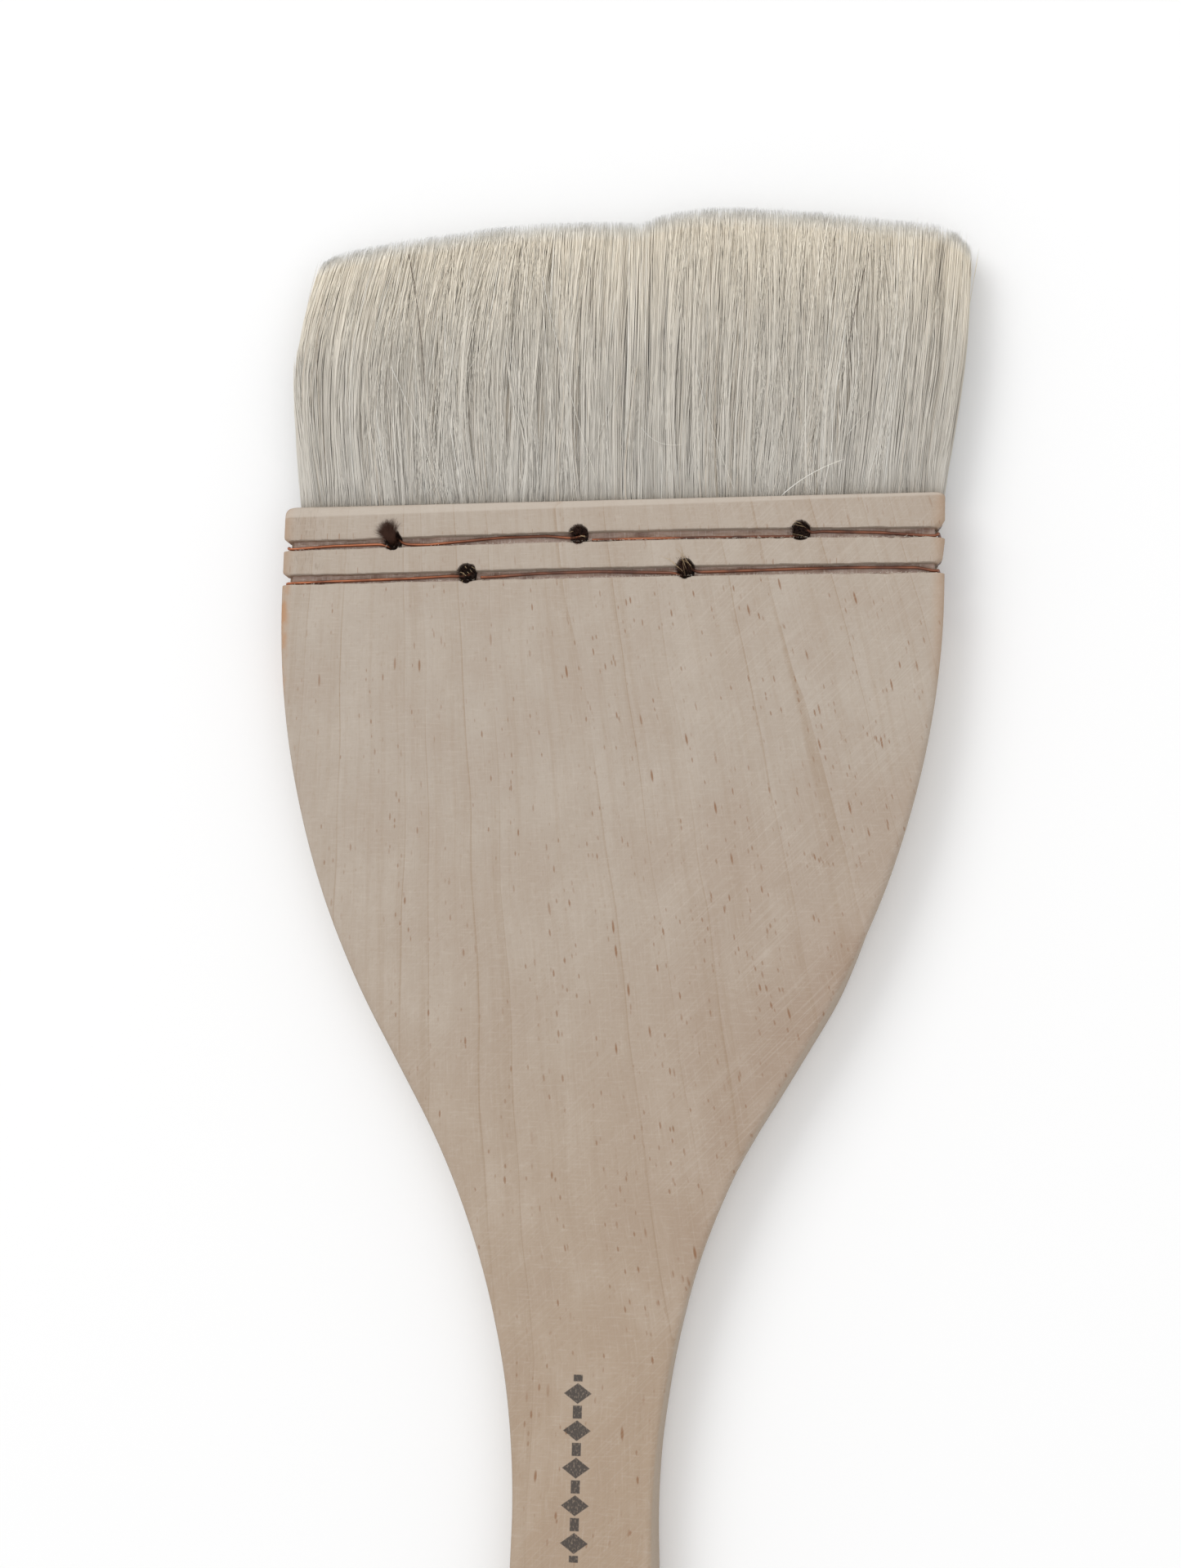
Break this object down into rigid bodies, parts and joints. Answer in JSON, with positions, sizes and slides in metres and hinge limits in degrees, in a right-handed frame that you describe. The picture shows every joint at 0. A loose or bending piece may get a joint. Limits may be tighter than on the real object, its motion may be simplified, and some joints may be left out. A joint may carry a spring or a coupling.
{
  "type": "flat wash brush",
  "caption": "Wide flat goat-hair brush with a wooden paddle handle, its hair held in a slot by stitched copper wires.",
  "frame": {"origin": "on the back (resting) face, on the paddle's centre line, 40 mm below the mouth that holds the hair", "axes": "+Y along the handle towards the hair tips, +Z out of the front face, +X to the right seen from the front with the hair up"},
  "size_m": [0.0784, 0.2396, 0.006],
  "materials": {
    "handle_wood": "fine-sanded, raw pale hardwood with pores and faint growth rings",
    "goat_hair": "soft cream goat hair, satin",
    "root_resin": "hard dark brown resin",
    "copper_wire": "bare drawn copper, slightly dulled",
    "groove_glue": "thin dried glue over bare wood, glossy in spots",
    "dark_fibre": "dark matted hair ends"
  },
  "bodies": {
    "root": {"handle": "handle_wood", "hair_left_bundle": "goat_hair", "hair_right_bundle": "goat_hair", "root_resin": "root_resin", "upper_binding_wire": "copper_wire", "lower_binding_wire": "copper_wire", "upper_glue_film_front": "groove_glue", "lower_glue_film_front": "groove_glue", "upper_glue_film_back": "groove_glue", "lower_glue_film_back": "groove_glue", "upper_left_fibre_tuft": "dark_fibre", "upper_middle_fibre_tuft": "dark_fibre", "upper_right_fibre_tuft": "dark_fibre", "lower_left_fibre_tuft": "dark_fibre", "lower_right_fibre_tuft": "dark_fibre"}
  },
  "joints": []
}
